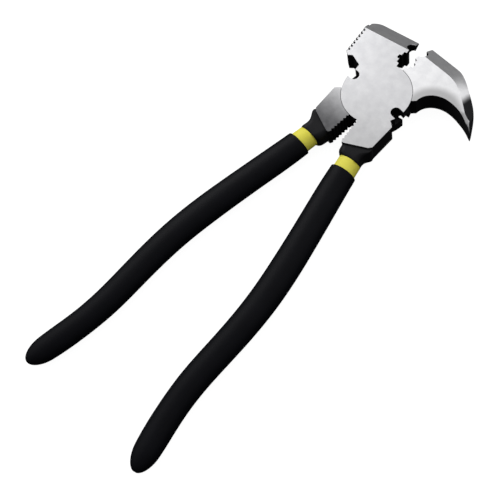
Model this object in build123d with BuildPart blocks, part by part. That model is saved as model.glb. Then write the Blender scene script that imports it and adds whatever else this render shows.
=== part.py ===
"""Fencing pliers: two forged levers on one rivet, with a double vinyl coat on each handle.

The origin is on the pivot axis, at the level of the back faces. +Y runs from the pivot to the head,
the handles run towards -Y, and +Z is the front. Each lever is drawn as it stands when the pliers are
closed, with its nose on the Y axis, and is then turned about the pivot by half of the opening.
"""

from build123d import *
from math import sqrt
import os

# Whole tool
THICKNESS = 12.8  # back face to front face of the head
MID = THICKNESS / 2
HALF_OPENING = 5.65  # degrees that each lever stands open at rest
OVERCUT = 1.0  # how far a cutting solid runs past the face that it cuts

# Lap joint and rivet
DISC_RADIUS = 18.6
RECESS_CLEARANCE = 0.25
LAP_GAP = 0.1
RIVET_RADIUS = 4.0
RIVET_HEAD_RADIUS = 5.5
RIVET_HEAD_LAND = 0.5
RIVET_END_RADIUS = 5.0
RIVET_CLEARANCE = 0.05

# Wire cutters: a round notch on each side of both half discs
NOTCH_RADIUS = 2.8
JAW_NOTCH = (16.4, 170.0)  # distance from the pivot, and direction in degrees
HANDLE_NOTCH = (15.9, -16.5)

# Noses and jaws
NOSE_GAP = 0.1  # from each nose to the Y axis when the pliers are closed
NOSE_HOLE_Y = 33.6
NOSE_HOLE_RADIUS = 3.0
JAW_START_Y = 14.0
JAW_STEPS = (
    (0.2, 20.8),
    (1.7, 21.2),
    (1.6, 23.2),
    (3.1, 23.5),
    (3.0, 25.5),
    (1.6, 25.9),
    (1.5, 28.0),
    (NOSE_GAP, 28.3),
)
CREST_HALF_LAND = 0.35  # half thickness left at the crest of each head

# Hammer head
HAMMER_CREST_Y = 39.9
HAMMER_EDGE_Y = 30.3  # where the bevel starts on the front face
POLL_X = -28.8
POLL_BOTTOM_Y = 13.6
POLL_CORNER_RADIUS = 6.6
POLL_CHAMFER_X = 0.8
POLL_CHAMFER_Z = 0.8
GROOVE_PITCH = 2.35
GROOVE_WIDTH = 1.1
GROOVE_DEPTH = 1.75
GROOVE_COUNT = 7
GROOVE_MIDDLE_Y = 21.7
CROSS_GROOVE_DEPTH = 0.8
CROSS_GROOVE_COUNT = 4
HAMMER_UNDERSIDE = ((-26.2, 11.2), (-23.9, 12.5), (-17.4, 9.3), (-17.6, 5.6))
HAMMER_ROOT = (-13.0, 4.0)

# Claw head
CLAW_CREST_Y = 41.0
CLAW_EDGE_Y = 32.4  # where the bevel starts on the front face
CLAW_BEND_X = 19.0  # from here the bevel curves round towards the claw's tip
CLAW_BEND_RADIUS = 22.6
CLAW_BEND_ANGLE = 36.0
CLAW_EDGE_RUN = 45.0
CLAW_SHOULDER = ((18.0, CLAW_CREST_Y), (22.5, 40.2), (27.6, 37.5))
CLAW_SHOULDER_DIRECTIONS = ((1.0, 0.0), (0.86, -0.5))
# Inner edge of the claw, from the root to the tip, and the corners that close the gap below it
CLAW_THROAT = (
    (18.6, 10.4),
    (21.0, 17.0),
    (27.8, 21.0),
    (33.0, 21.5),
    (40.3, 20.4),
    (46.2, 18.1),
    (51.9, 14.5),
)
THROAT_CORNERS = ((54.0, 13.6), (54.0, 2.0), (18.6, 2.0))
BELOW_SHOULDER = (29.0, 17.0)
CLAW_ROOT = ((16.8, 8.6), (13.0, 4.0))
# Sections along the claw: inner point, outer point, half thickness, depth of the rounded outer side.
# Where a section is thicker than the head, the faces of the head cut it flat.
CLAW_SECTIONS = (
    ((27.8, 21.0), CLAW_SHOULDER[-1], 7.1, 0.4),
    ((33.0, 21.5), (35.6, 32.6), 7.0, 3.6),
    ((38.0, 21.0), (42.6, 27.4), 6.6, 4.0),
    ((42.4, 19.6), (46.9, 22.5), 5.6, 3.1),
    ((46.2, 18.1), (49.6, 18.7), 4.3, 2.4),
    ((49.4, 16.3), (51.3, 16.2), 2.7, 1.4),
    ((51.7, 14.6), (52.1, 14.4), 0.4, 0.2),
)

# Block beside the joint, with gripping teeth on its inner edge
TOOTH_EDGE_X = 0.7
TOOTH_PITCH = 2.1
TOOTH_RADIUS = 0.8
TOOTH_COUNT = 6
TOOTH_MIDDLE_Y = -25.6
BLOCK = (
    (TOOTH_EDGE_X, -14.0),
    (TOOTH_EDGE_X, -31.8),
    (1.4, -33.4),
    (2.6, -33.4),
    (15.0, -29.2),
    (16.6, -27.8),
    (18.4, -12.8),
    (17.0, -11.4),
    (15.4, -10.0),
    (9.0, -14.0),
)

# Neck below the block: Y, middle in X, width, thickness and corner radius of each section
NECK_SECTIONS = (
    (-27.0, 8.9, 14.6, 10.6, 1.2),
    (-31.6, 8.9, 14.8, 10.8, 1.2),
    (-33.6, 8.5, 13.8, 10.9, 2.6),
    (-35.8, 8.4, 13.6, 11.0, 3.4),
)
NECK_END = (9.5, 12.0, 10.2, 3.4)  # the same for the last section, where the inner coat begins

# Handle: the grip's middle line, and its half width along that line from neck (0) to tip (1)
HANDLE_LINE = (
    (9.3, -34.0),
    (10.8, -51.0),
    (16.5, -102.0),
    (17.8, -130.0),
    (15.8, -160.0),
    (14.4, -184.0),
    (15.8, -204.0),
    (18.6, -226.4),
)
GRIP_HALF_WIDTHS = ((0.0, 7.4), (0.2, 7.8), (0.4, 8.0), (0.6, 7.6), (0.8, 7.25), (1.0, 6.7))
GRIP_HALF_THICKNESS = 6.1
GRIP_COAT = 1.0  # thickness of the black outer coat
SLEEVE_COAT = 1.3  # thickness of the yellow inner coat
# Where the coats of each handle begin, inner and outer: the left one is dipped a little less deep
RIGHT_COAT_STARTS = (-38.4, -45.2)
LEFT_COAT_STARTS = (-39.8, -46.6)
TIP_LENGTH = 13.5
BODY_STATIONS = 11
TIP_STATIONS = (9.5, 6.5, 4.0, 2.0, 0.8, 0.15)  # distances from the tip


def half_width(position):
    """The grip's half width at a position along the handle, from 0 at the neck to 1 at the tip."""
    for (start, start_width), (end, end_width) in zip(GRIP_HALF_WIDTHS, GRIP_HALF_WIDTHS[1:]):
        if position <= end:
            share = (position - start) / (end - start)
            return start_width + share * (end_width - start_width)
    return GRIP_HALF_WIDTHS[-1][1]


def handle_bar(inset):
    """The handle as one round-ended bar, its surface inset from the surface of the finished grip."""
    line = Spline(*[(x, y, MID) for x, y in HANDLE_LINE], mode=Mode.PRIVATE)
    end = line.length - inset
    stations = []
    for index in range(BODY_STATIONS):
        stations.append(((end - TIP_LENGTH) * index / (BODY_STATIONS - 1), 1.0))
    for distance in TIP_STATIONS:
        stations.append((end - distance, sqrt(1 - (1 - distance / TIP_LENGTH) ** 2)))
    with BuildPart() as bar:
        for distance, roundness in stations:
            position = distance / line.length
            along = line % position
            across = (-along.Y, along.X, 0)
            width = (half_width(position) - inset) * roundness
            thickness = (GRIP_HALF_THICKNESS - inset) * roundness
            with BuildSketch(Plane(origin=line @ position, x_dir=across, z_dir=along)):
                Ellipse(width, thickness)
        loft()
    return bar.part


def coat(bar, core, start_y):
    """A vinyl coat: the bar without its core, from start_y to the tip."""
    with BuildPart() as shell:
        add(bar)
        add(core, mode=Mode.SUBTRACT)
        split(bisect_by=Plane(origin=(0, start_y, 0), z_dir=(0, -1, 0)), keep=Keep.TOP)
    return shell.part


def wire_notch(distance, direction):
    """A cutter notch with a round end, open outwards through the edge of the half disc."""
    with BuildSketch() as notch:
        with PolarLocations(distance, 1, start_angle=direction):
            Circle(NOTCH_RADIUS)
            Rectangle(3 * NOTCH_RADIUS, 2 * NOTCH_RADIUS, align=(Align.MIN, Align.CENTER))
    return notch.sketch


def cylinder_between(radius, bottom, top):
    """A cylinder on the pivot axis."""
    with BuildPart() as cylinder:
        with BuildSketch(Plane.XY.offset(bottom)):
            Circle(radius)
        extrude(amount=top - bottom)
    return cylinder.part


def rivet_solid(clearance):
    """A countersunk head at the back, a shank, and a spread end, run on past both faces of the joint."""
    shank = RIVET_RADIUS + clearance
    head = RIVET_HEAD_RADIUS + clearance
    end = RIVET_END_RADIUS + clearance
    land = RIVET_HEAD_LAND + clearance
    with BuildPart() as solid:
        with BuildSketch(Plane.XZ):
            with BuildLine():
                Polyline(
                    (0, -OVERCUT),
                    (head, -OVERCUT),
                    (head, land),
                    (shank, land + head - shank),
                    (shank, THICKNESS - (end - shank)),
                    (end, THICKNESS),
                    (end, THICKNESS + OVERCUT),
                    (0, THICKNESS + OVERCUT),
                    close=True,
                )
            make_face()
        revolve(axis=Axis.Z)
    return solid.part


def bevels(edge_line, width):
    """The wedges ground off the front and back of a head, from its edge line out to its crest."""
    depth = MID - CREST_HALF_LAND
    beyond = width + OVERCUT
    along = edge_line % 0
    start = edge_line @ 0
    with BuildPart() as wedges:
        with BuildSketch(Plane(origin=(start.X, start.Y, 0), x_dir=(-along.Y, along.X, 0), z_dir=along)):
            with BuildLine():
                Polyline(
                    (0, THICKNESS),
                    (beyond, THICKNESS - depth * beyond / width),
                    (beyond, THICKNESS + OVERCUT),
                    (0, THICKNESS + OVERCUT),
                    close=True,
                )
            make_face()
        sweep(path=edge_line)
        mirror(about=Plane.XY.offset(MID))
    return wedges.part


def neck_forging(end_y):
    """The forged neck, which narrows from the block to the tang."""
    with BuildPart() as neck:
        for y, middle_x, width, thickness, corner_radius in (*NECK_SECTIONS, (end_y, *NECK_END)):
            with BuildSketch(Plane(origin=(middle_x, y, MID), x_dir=(1, 0, 0), z_dir=(0, -1, 0))):
                RectangleRounded(width, thickness, corner_radius)
        loft()
    return neck.part


def claw_blade():
    """The curved claw with its rounded outer side, run on past its inner edge."""
    with BuildPart() as blade:
        for inner, outer, half_height, rounding in CLAW_SECTIONS:
            outward = (Vector(*outer) - Vector(*inner)).normalized()
            start = Vector(*inner) - OVERCUT * outward
            width = (Vector(*outer) - start).length - rounding
            section = Plane(origin=(start.X, start.Y, MID), x_dir=outward, z_dir=(outward.Y, -outward.X, 0))
            with BuildSketch(section):
                with BuildLine():
                    Polyline((width, -half_height), (0, -half_height), (0, half_height), (width, half_height))
                    EllipticalCenterArc((width, 0), rounding, half_height, start_angle=-90, arc_size=180)
                make_face()
        loft()
    return blade.part


def lever_base(disc_levels, recess_levels, bar, neck_end_y):
    """Half disc, block, neck and tang, with the handle on the +X side."""
    with BuildPart() as base:
        with BuildSketch():
            with BuildLine():
                Polyline(*BLOCK, close=True)
            make_face()
            with Locations((TOOTH_EDGE_X, TOOTH_MIDDLE_Y)):
                with GridLocations(1, TOOTH_PITCH, 1, TOOTH_COUNT):
                    RegularPolygon(TOOTH_RADIUS, 4, mode=Mode.SUBTRACT)
        extrude(amount=THICKNESS)
        add(neck_forging(neck_end_y))
        add(bar)
        add(cylinder_between(DISC_RADIUS + RECESS_CLEARANCE, *recess_levels), mode=Mode.SUBTRACT)
        add(cylinder_between(DISC_RADIUS, *disc_levels))
        with BuildSketch():
            add(wire_notch(*HANDLE_NOTCH))
        extrude(amount=THICKNESS, mode=Mode.SUBTRACT)
    return base.part


front_half = (MID + LAP_GAP / 2, THICKNESS)
back_half = (0, MID - LAP_GAP / 2)
front_recess = (back_half[1], THICKNESS + OVERCUT)
back_recess = (-OVERCUT, front_half[0])
head_slab = cylinder_between(2 * CLAW_CREST_Y, 0, THICKNESS)

grip_bar = handle_bar(0)
sleeve_bar = handle_bar(GRIP_COAT)
tang_bar = handle_bar(GRIP_COAT + SLEEVE_COAT)

# Lines along which the bevels of both heads start
with BuildLine() as hammer_edge:
    Line((POLL_X - OVERCUT, HAMMER_EDGE_Y), (OVERCUT, HAMMER_EDGE_Y))
with BuildLine() as claw_edge:
    Line((-OVERCUT, CLAW_EDGE_Y), (CLAW_BEND_X, CLAW_EDGE_Y))
    bend = CenterArc(
        (CLAW_BEND_X, CLAW_EDGE_Y - CLAW_BEND_RADIUS), CLAW_BEND_RADIUS, 90, -CLAW_BEND_ANGLE
    )
    Line(bend @ 1, bend @ 1 + CLAW_EDGE_RUN * (bend % 1))

# Hammer lever: grooved hammer face, left jaw, front half disc and right handle
hammer_base = lever_base(front_half, back_recess, tang_bar, RIGHT_COAT_STARTS[0])
with BuildPart() as hammer_head:
    with BuildSketch() as hammer_outline:
        with BuildLine():
            Polyline(
                (-NOSE_GAP, JAW_START_Y),
                *[(-x, y) for x, y in JAW_STEPS],
                (-NOSE_GAP, HAMMER_CREST_Y),
                (POLL_X, HAMMER_CREST_Y),
                (POLL_X, POLL_BOTTOM_Y),
                *HAMMER_UNDERSIDE,
                HAMMER_ROOT,
                close=True,
            )
        make_face()
        poll_corner = hammer_outline.vertices().group_by(Axis.Y)[-1].sort_by(Axis.X)[0]
        fillet(poll_corner, POLL_CORNER_RADIUS)
    extrude(amount=THICKNESS)
    # Chamfers along the front and back edges of the hammer face
    with BuildSketch(Plane.XZ):
        for face_z, inward in ((0, 1), (THICKNESS, -1)):
            with BuildLine():
                Polyline(
                    (POLL_X - OVERCUT, face_z - inward * OVERCUT),
                    (POLL_X - OVERCUT, face_z + inward * POLL_CHAMFER_Z),
                    (POLL_X, face_z + inward * POLL_CHAMFER_Z),
                    (POLL_X + POLL_CHAMFER_X, face_z),
                    (POLL_X + POLL_CHAMFER_X, face_z - inward * OVERCUT),
                    close=True,
                )
            make_face()
    extrude(amount=-HAMMER_CREST_Y - OVERCUT, mode=Mode.SUBTRACT)
    # Grooves across the hammer face, and shallower ones along it
    with BuildSketch():
        with Locations((POLL_X, GROOVE_MIDDLE_Y)):
            with GridLocations(1, GROOVE_PITCH, 1, GROOVE_COUNT):
                Rectangle(2 * GROOVE_DEPTH, GROOVE_WIDTH)
    extrude(amount=THICKNESS, mode=Mode.SUBTRACT)
    with BuildSketch(Plane.XZ):
        with Locations((POLL_X, MID)):
            with GridLocations(1, GROOVE_PITCH, 1, CROSS_GROOVE_COUNT):
                Rectangle(2 * CROSS_GROOVE_DEPTH, GROOVE_WIDTH)
    extrude(amount=-HAMMER_CREST_Y, mode=Mode.SUBTRACT)
    add(bevels(hammer_edge.line, HAMMER_CREST_Y - HAMMER_EDGE_Y), mode=Mode.SUBTRACT)
    add(cylinder_between(DISC_RADIUS + RECESS_CLEARANCE, *back_recess), mode=Mode.SUBTRACT)
with BuildPart() as hammer_forging:
    add(hammer_base)
    add(hammer_head)
    with BuildSketch():
        add(wire_notch(*JAW_NOTCH))
        with Locations((0, NOSE_HOLE_Y)):
            Circle(NOSE_HOLE_RADIUS)
    extrude(amount=THICKNESS, mode=Mode.SUBTRACT)
    add(rivet_solid(0), mode=Mode.SUBTRACT)

# Claw lever: curved pointed claw, right jaw, rear half disc and left handle
claw_base = mirror(
    lever_base(back_half, front_recess, tang_bar, LEFT_COAT_STARTS[0]), about=Plane.YZ
)
with BuildPart() as claw_head:
    with BuildSketch():
        with BuildLine():
            Polyline((NOSE_GAP, JAW_START_Y), *JAW_STEPS, (NOSE_GAP, CLAW_CREST_Y), CLAW_SHOULDER[0])
            Spline(*CLAW_SHOULDER, tangents=CLAW_SHOULDER_DIRECTIONS)
            Polyline(
                CLAW_SHOULDER[-1],
                BELOW_SHOULDER,
                CLAW_THROAT[0],
                *CLAW_ROOT,
                (NOSE_GAP, JAW_START_Y),
            )
        make_face()
    extrude(amount=THICKNESS)
    add(claw_blade())
    with BuildSketch():
        with BuildLine():
            Spline(*CLAW_THROAT)
            Polyline(CLAW_THROAT[-1], *THROAT_CORNERS, CLAW_THROAT[0])
        make_face()
    extrude(amount=THICKNESS, mode=Mode.SUBTRACT)
    add(head_slab, mode=Mode.INTERSECT)
    add(bevels(claw_edge.line, CLAW_CREST_Y - CLAW_EDGE_Y), mode=Mode.SUBTRACT)
    add(cylinder_between(DISC_RADIUS + RECESS_CLEARANCE, *front_recess), mode=Mode.SUBTRACT)
with BuildPart() as claw_forging:
    add(claw_base)
    add(claw_head)
    with BuildSketch():
        add(wire_notch(JAW_NOTCH[0], 180 - JAW_NOTCH[1]))
        with Locations((0, NOSE_HOLE_Y)):
            Circle(NOSE_HOLE_RADIUS)
    extrude(amount=THICKNESS, mode=Mode.SUBTRACT)
    add(rivet_solid(RIVET_CLEARANCE), mode=Mode.SUBTRACT)

# Finished pieces, turned from the closed pose to the pose at rest
os.makedirs("parts", exist_ok=True)

with BuildPart() as hammer_lever:
    add(hammer_forging, rotation=(0, 0, HALF_OPENING))
hammer_lever.part.label = "hammer_lever"
export_step(hammer_lever.part, "parts/hammer_lever.step")

with BuildPart() as claw_lever:
    add(claw_forging, rotation=(0, 0, -HALF_OPENING))
claw_lever.part.label = "claw_lever"
export_step(claw_lever.part, "parts/claw_lever.step")

with BuildPart() as pivot_rivet:
    add(rivet_solid(0))
    add(head_slab, mode=Mode.INTERSECT)
pivot_rivet.part.label = "pivot_rivet"
export_step(pivot_rivet.part, "parts/pivot_rivet.step")

right_coats = (
    ("inner_sleeve", coat(sleeve_bar, tang_bar, RIGHT_COAT_STARTS[0])),
    ("grip", coat(grip_bar, sleeve_bar, RIGHT_COAT_STARTS[1])),
)
for coat_name, right_coat in right_coats:
    with BuildPart() as handle_coat:
        add(right_coat, rotation=(0, 0, HALF_OPENING))
    handle_coat.part.label = f"right_{coat_name}"
    export_step(handle_coat.part, f"parts/right_{coat_name}.step")

left_coats = (
    ("inner_sleeve", mirror(coat(sleeve_bar, tang_bar, LEFT_COAT_STARTS[0]), about=Plane.YZ)),
    ("grip", mirror(coat(grip_bar, sleeve_bar, LEFT_COAT_STARTS[1]), about=Plane.YZ)),
)
for coat_name, left_coat in left_coats:
    with BuildPart() as handle_coat:
        add(left_coat, rotation=(0, 0, -HALF_OPENING))
    handle_coat.part.label = f"left_{coat_name}"
    export_step(handle_coat.part, f"parts/left_{coat_name}.step")
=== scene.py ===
"""The looks of the fencing pliers: steel, vinyl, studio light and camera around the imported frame.

Everything is in metres, in the frame of the part: the origin is on the pivot axis at the level of the
back faces, +Y runs to the head and +Z is the front.
"""

import math

import bpy
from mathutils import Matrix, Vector


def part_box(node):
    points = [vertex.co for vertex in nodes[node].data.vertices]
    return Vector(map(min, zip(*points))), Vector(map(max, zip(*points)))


MM = 0.001

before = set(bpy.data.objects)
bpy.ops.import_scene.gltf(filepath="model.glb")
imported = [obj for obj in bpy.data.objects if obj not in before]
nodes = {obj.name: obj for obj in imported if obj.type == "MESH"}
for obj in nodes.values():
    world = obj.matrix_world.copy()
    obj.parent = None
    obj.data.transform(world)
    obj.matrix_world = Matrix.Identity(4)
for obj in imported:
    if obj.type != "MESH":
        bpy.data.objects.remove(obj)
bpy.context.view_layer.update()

# Camera
CAMERA_PLACE = Vector((0.16985, -0.17789, 0.41146))
CAMERA_TURN = (21.788, 9.820, 43.294)  # degrees about X, Y and Z
LENS = 62.8  # mm
SENSOR_WIDTH = 36.0  # mm
NEAREST_SEEN = 10 * MM

# Floor: a sheet that glows white for the camera and lights nothing
FLOOR_SIZE = 6.0
FLOOR_COLOUR = (0.25, 0.25, 0.25, 1.0)
FLOOR_ROUGHNESS = 0.9
FLOOR_GLOW = 0.94

# Studio walls: how bright they are at each height, from straight below (0) to straight above (1)
WALL_STOPS = (
    (0.0, 0.03),
    (0.44, 0.06),
    (0.495, 0.15),
    (0.55, 0.45),
    (0.65, 0.75),
    (0.8, 1.02),
    (0.93, 0.98),
    (0.97, 0.62),
    (1.0, 0.5),
)
BRIGHT_SIDE = (-0.65, 0.76, 0.0)  # the direction in which the walls are bright
BRIGHT_FADE = (-0.6, 0.4)  # cosines to that direction, from dim to bright
DIM_STRENGTH = 0.25
BRIGHT_STRENGTH = 1.0

# Softboxes: direction from the origin, distance and width in metres, power in watts
SOFTBOXES = {
    "key": ((-0.75, 0.25, 0.6), 1.2, 0.7, 4.0),
    "claw_light": ((0.15, 0.96, 0.22), 1.2, 0.4, 0.42),
}

# Edges: width and segments of the rounding, and the degrees between faces above which it is made
STEEL_EDGE = (0.28 * MM, 2, 22.0)
GRIP_LIP = (0.45 * MM, 3, 45.0)
SLEEVE_LIP = (0.3 * MM, 3, 45.0)
WELD_DISTANCE = 0.002 * MM
LARGE_FACE_WEIGHT = 80  # 50 is neutral, and more lets the large faces rule the shading

# Where the steel is ground. In each pair the change runs from the first value to the second.
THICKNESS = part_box("pivot_rivet")[1].z
HEAD_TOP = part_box("claw_lever")[1].y
FACE_FADE = (0.3 * MM, 0.1 * MM)  # depth under the front and back faces
HEAD_FADE = (0.2 * HEAD_TOP, 0.3 * HEAD_TOP)  # Y, from forged sides to ground bevels
BEVEL_UPRIGHT = (0.4, 0.75)  # size of the normal's Z, from a forged side to a ground bevel
TIP_UPRIGHT = (0.86, 0.95)  # the same at the claw's tip, where less of the bevel is ground
TIP_FADE = (36 * MM, 40 * MM)  # X, from the claw to its tip
THROAT_MIDDLE = (30.5 * MM, 7.1 * MM, THICKNESS)  # the claw's inner edge runs round it
THROAT_FADE = (18 * MM, 13 * MM)  # distance from there, from bright to painted shade
HAMMER_SHADE_FADE = (10 * MM, -36 * MM)  # Y, from the ground tones to the darker painted shade tones
CLAW_SHADE_FADE = (8 * MM, -30 * MM)

# Tones, the darkest and the lightest of each finish
HAMMER_TONES = ((0.51, 0.51, 0.53, 1.0), (0.73, 0.73, 0.74, 1.0))
# Painted shade: darker copies of the hammer's ground tones towards its neck, standing in for a dimmer
# reflection there
HAMMER_SHADED_TONES = ((0.40, 0.40, 0.41, 1.0), (0.58, 0.58, 0.585, 1.0))
# The claw's ground tones are the steel's own tone plus painted light, set lighter than the hammer's to make
# up for the dimmer reflection its face catches
CLAW_TONES_WITH_PAINTED_LIGHT = ((0.67, 0.67, 0.69, 1.0), (0.94, 0.94, 0.95, 1.0))
# Painted shade: darker copies of the claw's ground tones towards its neck, standing in for a dimmer
# reflection there
CLAW_SHADED_TONES = ((0.05, 0.05, 0.052, 1.0), (0.16, 0.16, 0.166, 1.0))
# Painted shade on the claw face towards its throat, for the face's dimmer reflection near the inner edge
THROAT_SHADE_TONE = (0.46, 0.46, 0.465, 1.0)
OXIDE_TONES = ((0.004, 0.004, 0.005, 1.0), (0.013, 0.013, 0.015, 1.0))
BLACK_TONES = ((0.0020, 0.0022, 0.0034, 1.0), (0.0045, 0.0048, 0.0072, 1.0))
YELLOW_TONES = ((0.88, 0.80, 0.07, 1.0), (0.98, 0.92, 0.16, 1.0))

# Surfaces: the least and greatest roughness, and how the forged and the ground steel shine
GROUND_ROUGHNESS = (0.26, 0.4)
OXIDE_ROUGHNESS = (0.35, 0.6)
STEEL_METALLIC = (0.2, 1.0)  # forged, ground
STEEL_SPECULAR = (0.16, 0.5)  # forged, ground
BLACK_ROUGHNESS = (0.42, 0.55)
BLACK_SPECULAR = 0.09
YELLOW_ROUGHNESS = (0.38, 0.5)
YELLOW_SPECULAR = 0.1
STEEL_BUMP = (0.12, 0.15 * MM)  # strength, depth
VINYL_BUMP = (0.25, 0.08 * MM)

# Noises: scale in cells per metre, turn in degrees; the belt's grain is drawn out along Y
GRAIN = {"scale": 900.0, "detail": 4.0, "roughness": 0.6, "stretch": (1.0, 0.12, 1.0), "turn": 24.0}
STEEL_CLOUD = {"scale": 220.0, "detail": 4.0, "roughness": 0.6}
FORGING_SCALE = {"scale": 700.0, "detail": 5.0, "roughness": 0.65}
VINYL_CLOUD = {"scale": 90.0, "detail": 3.0, "roughness": 0.5}
PEBBLE = {"scale": 1500.0, "detail": 3.0, "roughness": 0.6}

MIX_SOCKETS = {"FLOAT": (2, 3, 0), "RGBA": (6, 7, 2)}  # a Mix node's two inputs and its result


def link(tree, source, target):
    tree.links.new(source, target)


def add_node(tree, kind, inputs=(), **settings):
    """A shader node with its settings and its inputs: a socket to link, or a constant."""
    made = tree.nodes.new(kind)
    for name, value in settings.items():
        setattr(made, name, value)
    for key, value in dict(inputs).items():
        if isinstance(value, bpy.types.NodeSocket):
            link(tree, value, made.inputs[key])
        else:
            made.inputs[key].default_value = value
    return made


def math_node(tree, operation, first, second=0.0):
    return add_node(tree, "ShaderNodeMath", {0: first, 1: second}, operation=operation).outputs[0]


def ramp_between(tree, value, low, high):
    """0 below low and 1 above high, smoothly; the other way round if high is below low."""
    names = {"Value": value, "From Min": low, "From Max": high}
    if high < low:
        names = {"Value": value, "From Min": high, "From Max": low, "To Min": 1.0, "To Max": 0.0}
    return add_node(tree, "ShaderNodeMapRange", names, interpolation_type="SMOOTHSTEP").outputs[0]


def mix(tree, kind, share, first, second):
    """The first value or colour where share is 0, the second where it is 1."""
    first_socket, second_socket, result = MIX_SOCKETS[kind]
    inputs = {0: share, first_socket: first, second_socket: second}
    return add_node(tree, "ShaderNodeMix", inputs, data_type=kind).outputs[result]


def noise(tree, vector, scale, detail, roughness, stretch=(1.0, 1.0, 1.0), turn=0.0):
    """Noise with a given number of cells per metre; its space is scaled by stretch, then turned about Z."""
    placed = add_node(
        tree,
        "ShaderNodeMapping",
        {"Vector": vector, "Scale": stretch, "Rotation": (0.0, 0.0, math.radians(turn))},
    )
    made = add_node(
        tree,
        "ShaderNodeTexNoise",
        {"Vector": placed.outputs[0], "Scale": scale, "Detail": detail, "Roughness": roughness},
    )
    return made.outputs["Fac"]


def bump(tree, height, strength, depth):
    made = add_node(tree, "ShaderNodeBump", {"Height": height, "Strength": strength, "Distance": depth})
    return made.outputs[0]


def new_material(name):
    made = bpy.data.materials.new(name)
    made.use_nodes = True
    tree = made.node_tree
    tree.nodes.clear()
    output = tree.nodes.new("ShaderNodeOutputMaterial")
    principled = tree.nodes.new("ShaderNodeBsdfPrincipled")
    link(tree, principled.outputs[0], output.inputs[0])
    return made, tree, principled


def ground_share(tree, place, upright):
    """1 on the flat faces and the bevels, which are ground; 0 on the forged sides and necks."""
    x, y, z = place.outputs
    fade_start, fade_end = FACE_FADE
    front = ramp_between(tree, z, THICKNESS - fade_start, THICKNESS - fade_end)
    back = ramp_between(tree, z, fade_start, fade_end)
    flat = math_node(tree, "MAXIMUM", front, back)
    head = ramp_between(tree, y, *HEAD_FADE)
    bevel = math_node(tree, "MULTIPLY", head, ramp_between(tree, upright, *BEVEL_UPRIGHT))
    claw_tip = ramp_between(tree, x, *TIP_FADE)
    tip_face = ramp_between(tree, upright, *TIP_UPRIGHT)
    return math_node(tree, "MAXIMUM", flat, mix(tree, "FLOAT", claw_tip, bevel, tip_face))


def paint_throat_shade(tree, vector, colour):
    """A colour, darker towards the claw's throat: painted shade for the face's dimmer reflection near its
    inner edge.
    """
    offset = add_node(tree, "ShaderNodeVectorMath", {0: vector, 1: THROAT_MIDDLE}, operation="DISTANCE")
    throat_shade_share = ramp_between(tree, offset.outputs["Value"], *THROAT_FADE)
    return mix(tree, "RGBA", throat_shade_share, colour, THROAT_SHADE_TONE)


def steel(name, ground_tones, worn_tones, shade_fade, painted_throat_shade=False):
    """Ground bright steel on the flat faces and bevels, black oxide on the forged sides and necks.

    Over the two given Y values the ground tones fade to darker ones. This is painted shade standing in for
    the dimmer reflection towards the necks.
    """
    made, tree, principled = new_material(name)
    coords = add_node(tree, "ShaderNodeTexCoord")
    vector = coords.outputs["Object"]
    place = add_node(tree, "ShaderNodeSeparateXYZ", {0: vector})
    facing = add_node(tree, "ShaderNodeSeparateXYZ", {0: coords.outputs["Normal"]})
    upright = math_node(tree, "ABSOLUTE", facing.outputs["Z"])
    ground = ground_share(tree, place, upright)

    grain = noise(tree, vector, **GRAIN)
    cloud = noise(tree, vector, **STEEL_CLOUD)
    scale_marks = noise(tree, vector, **FORGING_SCALE)

    bright = mix(tree, "RGBA", cloud, *ground_tones)
    shaded_tone = mix(tree, "RGBA", cloud, *worn_tones)
    # Painted shade: the ground tones darken towards the necks
    bright = mix(tree, "RGBA", ramp_between(tree, place.outputs["Y"], *shade_fade), bright, shaded_tone)
    # Painted shade towards the claw's throat
    if painted_throat_shade:
        bright = paint_throat_shade(tree, vector, bright)
    oxide = mix(tree, "RGBA", scale_marks, *OXIDE_TONES)
    link(tree, mix(tree, "RGBA", ground, oxide, bright), principled.inputs["Base Color"])

    ground_roughness = mix(tree, "FLOAT", grain, *GROUND_ROUGHNESS)
    oxide_roughness = mix(tree, "FLOAT", scale_marks, *OXIDE_ROUGHNESS)
    roughness = mix(tree, "FLOAT", ground, oxide_roughness, ground_roughness)
    link(tree, roughness, principled.inputs["Roughness"])
    link(tree, mix(tree, "FLOAT", ground, *STEEL_METALLIC), principled.inputs["Metallic"])
    link(tree, mix(tree, "FLOAT", ground, *STEEL_SPECULAR), principled.inputs["Specular IOR Level"])

    height = mix(tree, "FLOAT", ground, scale_marks, grain)
    link(tree, bump(tree, height, *STEEL_BUMP), principled.inputs["Normal"])
    return made


def vinyl(name, tones, roughness_range, specular):
    """Dipped vinyl: a soft satin skin with a fine pebbled texture and slow changes of tone."""
    made, tree, principled = new_material(name)
    coords = add_node(tree, "ShaderNodeTexCoord")
    tone = noise(tree, coords.outputs["Object"], **VINYL_CLOUD)
    pebble = noise(tree, coords.outputs["Object"], **PEBBLE)
    link(tree, mix(tree, "RGBA", tone, *tones), principled.inputs["Base Color"])
    link(tree, mix(tree, "FLOAT", pebble, *roughness_range), principled.inputs["Roughness"])
    principled.inputs["Specular IOR Level"].default_value = specular
    link(tree, bump(tree, pebble, *VINYL_BUMP), principled.inputs["Normal"])
    return made


def paint(node_name, material):
    """Gives a CAD node its material."""
    slots = nodes[node_name].data.materials
    for index in range(len(slots)):
        slots[index] = material


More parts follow.
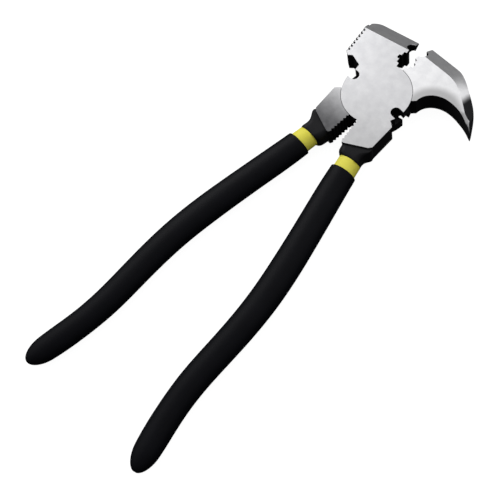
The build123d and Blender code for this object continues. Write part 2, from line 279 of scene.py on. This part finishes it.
def soften_edges(node_name, width, segments, angle):
    """Rounds a CAD node's sharp edges and smooths its shading, with modifiers only."""
    node = nodes[node_name]
    weld = node.modifiers.new("weld", "WELD")
    weld.merge_threshold = WELD_DISTANCE
    bevel = node.modifiers.new("bevel", "BEVEL")
    bevel.width = width
    bevel.segments = segments
    bevel.limit_method = "ANGLE"
    bevel.angle_limit = math.radians(angle)
    bevel.miter_outer = "MITER_ARC"
    bevel.use_clamp_overlap = True
    normals = node.modifiers.new("normals", "WEIGHTED_NORMAL")
    normals.keep_sharp = False
    normals.weight = LARGE_FACE_WEIGHT


def add_floor():
    bpy.ops.mesh.primitive_plane_add(size=FLOOR_SIZE, location=(0, 0, 0))
    floor = bpy.context.active_object
    floor.name = "floor"
    made, _, principled = new_material("floor_white")
    principled.inputs["Base Color"].default_value = FLOOR_COLOUR
    principled.inputs["Roughness"].default_value = FLOOR_ROUGHNESS
    principled.inputs["Specular IOR Level"].default_value = 0.0
    principled.inputs["Emission Color"].default_value = (1.0, 1.0, 1.0, 1.0)
    principled.inputs["Emission Strength"].default_value = FLOOR_GLOW
    floor.data.materials.append(made)
    floor.visible_glossy = False
    floor.visible_diffuse = False


def add_world():
    """Walls that are brightest well above the horizon, dimmer overhead and to one side, dark below."""
    world = bpy.data.worlds.new("studio")
    bpy.context.scene.world = world
    world.use_nodes = True
    tree = world.node_tree
    tree.nodes.clear()
    coords = add_node(tree, "ShaderNodeTexCoord")
    direction = coords.outputs["Generated"]
    parts = add_node(tree, "ShaderNodeSeparateXYZ", {0: direction})
    height = add_node(
        tree, "ShaderNodeMapRange", {"Value": parts.outputs["Z"], "From Min": -1.0, "From Max": 1.0}
    )
    ramp = tree.nodes.new("ShaderNodeValToRGB")
    link(tree, height.outputs[0], ramp.inputs[0])
    elements = ramp.color_ramp.elements
    while len(elements) < len(WALL_STOPS):
        elements.new(0.5)  # each gets its real position below
    for element, (position, level) in zip(elements, WALL_STOPS):
        element.position = position
        element.color = (level, level, level, 1.0)
    ends = {0: direction, 1: BRIGHT_SIDE}
    towards_wall = add_node(tree, "ShaderNodeVectorMath", ends, operation="DOT_PRODUCT")
    side = ramp_between(tree, towards_wall.outputs["Value"], *BRIGHT_FADE)
    strength = mix(tree, "FLOAT", side, DIM_STRENGTH, BRIGHT_STRENGTH)
    background = add_node(tree, "ShaderNodeBackground", {"Color": ramp.outputs[0], "Strength": strength})
    output = tree.nodes.new("ShaderNodeOutputWorld")
    link(tree, background.outputs[0], output.inputs[0])


def add_softbox(name, direction, distance, size, energy):
    """A square light that faces the origin."""
    light = bpy.data.lights.new(name, "AREA")
    light.shape = "SQUARE"
    light.size = size
    light.energy = energy
    holder = bpy.data.objects.new(name, light)
    bpy.context.scene.collection.objects.link(holder)
    aim = Vector(direction).normalized()
    holder.location = aim * distance
    holder.rotation_euler = aim.to_track_quat("Z", "Y").to_euler()


def add_camera():
    camera = bpy.data.cameras.new("camera")
    camera.lens = LENS
    camera.sensor_width = SENSOR_WIDTH
    camera.clip_start = NEAREST_SEEN
    holder = bpy.data.objects.new("camera", camera)
    holder.location = CAMERA_PLACE
    holder.rotation_euler = [math.radians(angle) for angle in CAMERA_TURN]
    bpy.context.scene.collection.objects.link(holder)
    bpy.context.scene.camera = holder


add_camera()
add_world()
add_floor()
for softbox_name, settings in SOFTBOXES.items():
    add_softbox(softbox_name, *settings)
bpy.context.scene.view_settings.view_transform = "Standard"

hammer_steel = steel("hammer_steel", HAMMER_TONES, HAMMER_SHADED_TONES, HAMMER_SHADE_FADE)
claw_steel = steel("claw_steel", CLAW_TONES_WITH_PAINTED_LIGHT, CLAW_SHADED_TONES, CLAW_SHADE_FADE, painted_throat_shade=True)
black_vinyl = vinyl("black_vinyl", BLACK_TONES, BLACK_ROUGHNESS, BLACK_SPECULAR)
yellow_vinyl = vinyl("yellow_vinyl", YELLOW_TONES, YELLOW_ROUGHNESS, YELLOW_SPECULAR)

paint("hammer_lever", hammer_steel)
paint("pivot_rivet", hammer_steel)
paint("claw_lever", claw_steel)
for side in ("right", "left"):
    paint(f"{side}_grip", black_vinyl)
    paint(f"{side}_inner_sleeve", yellow_vinyl)
    soften_edges(f"{side}_grip", *GRIP_LIP)
    soften_edges(f"{side}_inner_sleeve", *SLEEVE_LIP)
for lever in ("hammer_lever", "claw_lever"):
    soften_edges(lever, *STEEL_EDGE)
